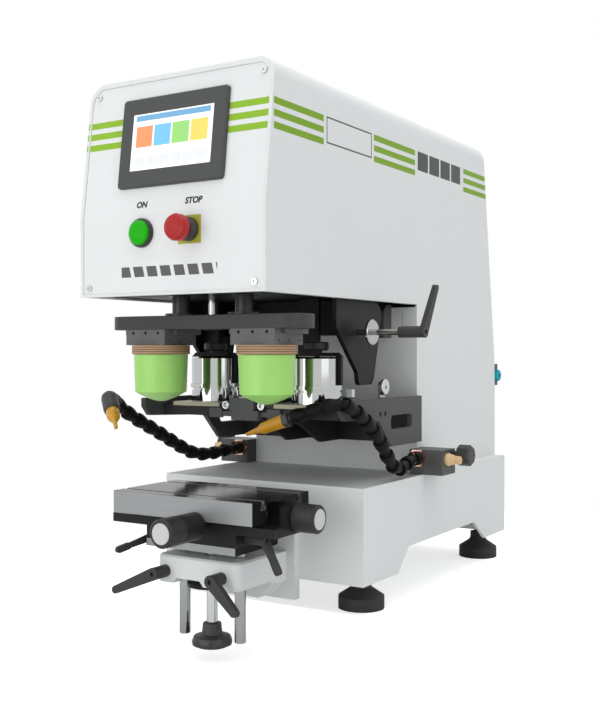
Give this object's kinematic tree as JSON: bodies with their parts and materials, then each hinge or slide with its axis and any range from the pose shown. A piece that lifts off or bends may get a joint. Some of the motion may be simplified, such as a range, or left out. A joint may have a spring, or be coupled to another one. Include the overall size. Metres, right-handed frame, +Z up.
{
  "type": "pad printing machine",
  "caption": "Bench-top pad printing machine: overhanging head with touch screen, pads on a stroke bar, ink cups, cross-slide table on a screw lift, air hoses.",
  "frame": {"origin": "on the bench, midway between the levelling feet, at the level of their undersides", "axes": "+Z up, +X to the operator's right, +Y from the operator towards the column"},
  "size_m": [0.5727, 0.9603, 0.8995],
  "materials": {
    "white_paint": "satin",
    "panel_paint": "satin",
    "dark_paint": "satin",
    "black_oxide": "satin",
    "casting": "satin",
    "polished_steel": "polished",
    "ground_steel": "brushed",
    "anodised": "satin",
    "dark_anodised": "satin",
    "feet_rubber": "matt",
    "pad_silicone": "satin",
    "pad_wood": "satin",
    "black_plastic": "matt",
    "grey_plastic": "matt",
    "bezel_plastic": "matt",
    "screen": "gloss",
    "green_lens": "gloss",
    "red_plastic": "gloss",
    "yellow_plastic": "matt",
    "orange_plastic": "satin",
    "cliche": "satin",
    "copper": "satin",
    "tan_plastic": "satin",
    "cyan_plastic": "gloss"
  },
  "bodies": {
    "frame": {"base": "white_paint", "feet": "feet_rubber", "housing": "white_paint", "front_panel": "panel_paint", "panel_screws": "black_oxide", "screen_bezel": "bezel_plastic", "screen_glass": "screen", "button_collars": "grey_plastic", "stop_plate": "yellow_plastic", "deck_and_rails": "black_oxide", "bed": "dark_paint", "bed_sides": "dark_paint", "printing_plates": "cliche", "plate_clamp": "anodised", "clamp_screws": "polished_steel", "knee": "casting", "lift_nut": "black_oxide", "air_blocks": "anodised", "hose_fittings": "copper", "air_elbows": "grey_plastic", "hoses": "grey_plastic", "elbow_left": "grey_plastic", "air_inlet": "cyan_plastic"},
    "start_button": {"start_lens": "green_lens"},
    "stop_button": {"stop_mushroom": "red_plastic"},
    "carriage": {"carriage_plate": "dark_anodised", "runner_blocks": "ground_steel", "guide_bushes": "ground_steel", "stroke_cylinder": "anodised", "hanger_plates": "black_oxide", "cross_shaft": "polished_steel", "cup_arms": "dark_anodised", "cup_brackets": "black_oxide", "cups": "polished_steel", "cup_frame": "polished_steel"},
    "shaft_lever": {"shaft_lever": "black_plastic"},
    "cup_knob_left": {"cup_knob_left": "black_plastic"},
    "cup_knob_right": {"cup_knob_right": "black_plastic"},
    "pad_head": {"pad_bar": "dark_anodised", "guide_rods": "polished_steel", "piston_rod": "polished_steel", "pad_holders": "dark_anodised", "pad_bases": "pad_wood", "pads": "pad_silicone"},
    "lift": {"lift_plate": "anodised", "lift_rods": "polished_steel", "lower_slide": "casting"},
    "lift_screw": {"lift_screw": "black_oxide"},
    "saddle": {"saddle": "casting"},
    "y_knob": {"y_knob": "black_plastic"},
    "x_knob": {"x_knob": "black_plastic"},
    "table": {"table_top": "ground_steel"},
    "knee_lever_left": {"knee_lever_left": "black_plastic"},
    "knee_lever_right": {"knee_lever_right": "black_plastic"},
    "slide_lever_left": {"slide_lever_left": "black_plastic"},
    "slide_lever_right": {"slide_lever_right": "black_plastic"},
    "flow_knob_left": {"flow_knob_left": "tan_plastic"},
    "flow_knob_right": {"flow_knob_right": "tan_plastic"},
    "nozzle_left": {"nozzle_left": "orange_plastic"},
    "nozzle_right": {"nozzle_right": "orange_plastic"}
  },
  "joints": [
    {"name": "carriage_slide", "type": "slide", "parent": "frame", "child": "carriage", "axis": [0, 1, 0], "range_m": [0, 0.095]},
    {"name": "pad_stroke", "type": "slide", "parent": "carriage", "child": "pad_head", "axis": [0, 0, 1], "range_m": [-0.105, 0]},
    {"name": "shaft_lever_turn", "type": "hinge", "parent": "carriage", "child": "shaft_lever", "pos_m": [0.2595, -0.2655, 0.464], "axis": [1, 0, 0], "range_deg": [-40, 40]},
    {"name": "cup_knob_left_turn", "type": "hinge", "parent": "carriage", "child": "cup_knob_left", "pos_m": [-0.1055, -0.3125, 0.44], "axis": [0, 0, 1], "range_deg": [-180, 180]},
    {"name": "cup_knob_right_turn", "type": "hinge", "parent": "carriage", "child": "cup_knob_right", "pos_m": [0.1055, -0.3125, 0.44], "axis": [0, 0, 1], "range_deg": [-180, 180]},
    {"name": "table_lift", "type": "slide", "parent": "frame", "child": "lift", "axis": [0, 0, 1], "range_m": [-0.008, 0.05]},
    {"name": "lift_screw_turn", "type": "hinge", "parent": "lift", "child": "lift_screw", "pos_m": [0, -0.4625, -0.03], "axis": [0, 0, 1], "range_deg": [-725, 4505]},
    {"name": "saddle_slide", "type": "slide", "parent": "lift", "child": "saddle", "axis": [0, 1, 0], "range_m": [-0.015, 0.015]},
    {"name": "y_knob_turn", "type": "hinge", "parent": "saddle", "child": "y_knob", "pos_m": [0.0295, -0.609, 0.167], "axis": [0, 1, 0], "range_deg": [-2705, 2705]},
    {"name": "table_slide", "type": "slide", "parent": "saddle", "child": "table", "axis": [1, 0, 0], "range_m": [-0.02, 0.01]},
    {"name": "x_knob_turn", "type": "hinge", "parent": "saddle", "child": "x_knob", "pos_m": [0.1785, -0.4585, 0.1795], "axis": [1, 0, 0], "range_deg": [-3605, 1805]},
    {"name": "knee_lever_left_turn", "type": "hinge", "parent": "frame", "child": "knee_lever_left", "pos_m": [-0.0605, -0.517, 0.082], "axis": [0, -1, 0], "range_deg": [-15, 25]},
    {"name": "knee_lever_right_turn", "type": "hinge", "parent": "frame", "child": "knee_lever_right", "pos_m": [0.05, -0.516, 0.082], "axis": [0, -1, 0], "range_deg": [-25, 25]},
    {"name": "slide_lever_left_turn", "type": "hinge", "parent": "lift", "child": "slide_lever_left", "pos_m": [-0.098, -0.4945, 0.1285], "axis": [-1, 0, 0], "range_deg": [-8, 20]},
    {"name": "slide_lever_right_turn", "type": "hinge", "parent": "lift", "child": "slide_lever_right", "pos_m": [0.106, -0.49, 0.1455], "axis": [1, 0, 0], "range_deg": [-30, 30]},
    {"name": "flow_knob_left_turn", "type": "hinge", "parent": "frame", "child": "flow_knob_left", "pos_m": [-0.255, -0.09, 0.239], "axis": [-1, 0, 0], "range_deg": [-360, 360]},
    {"name": "flow_knob_right_turn", "type": "hinge", "parent": "frame", "child": "flow_knob_right", "pos_m": [0.255, -0.09, 0.239], "axis": [1, 0, 0], "range_deg": [-360, 360]},
    {"name": "nozzle_left_turn", "type": "hinge", "parent": "frame", "child": "nozzle_left", "pos_m": [-0.2015, -0.482, 0.352], "axis": [0.636, -0.4821, -0.6026], "range_deg": [-180, 180]},
    {"name": "nozzle_right_turn", "type": "hinge", "parent": "frame", "child": "nozzle_right", "pos_m": [0.091, -0.389, 0.3206], "axis": [-0.9462, 0.043, -0.3207], "range_deg": [-180, 180]},
    {"name": "start_press", "type": "slide", "parent": "frame", "child": "start_button", "axis": [0, 1, 0], "range_m": [0, 0.003], "stiffness_N_per_m": 1200},
    {"name": "stop_press", "type": "slide", "parent": "frame", "child": "stop_button", "axis": [0, 1, 0], "range_m": [0, 0.005], "stiffness_N_per_m": 1500}
  ],
  "couplings": [
    {"joint": "lift_screw_turn", "follows": "table_lift", "rad_per_m": 1570.8},
    {"joint": "y_knob_turn", "follows": "saddle_slide", "rad_per_m": 3141.6},
    {"joint": "x_knob_turn", "follows": "table_slide", "rad_per_m": 3141.6}
  ]
}
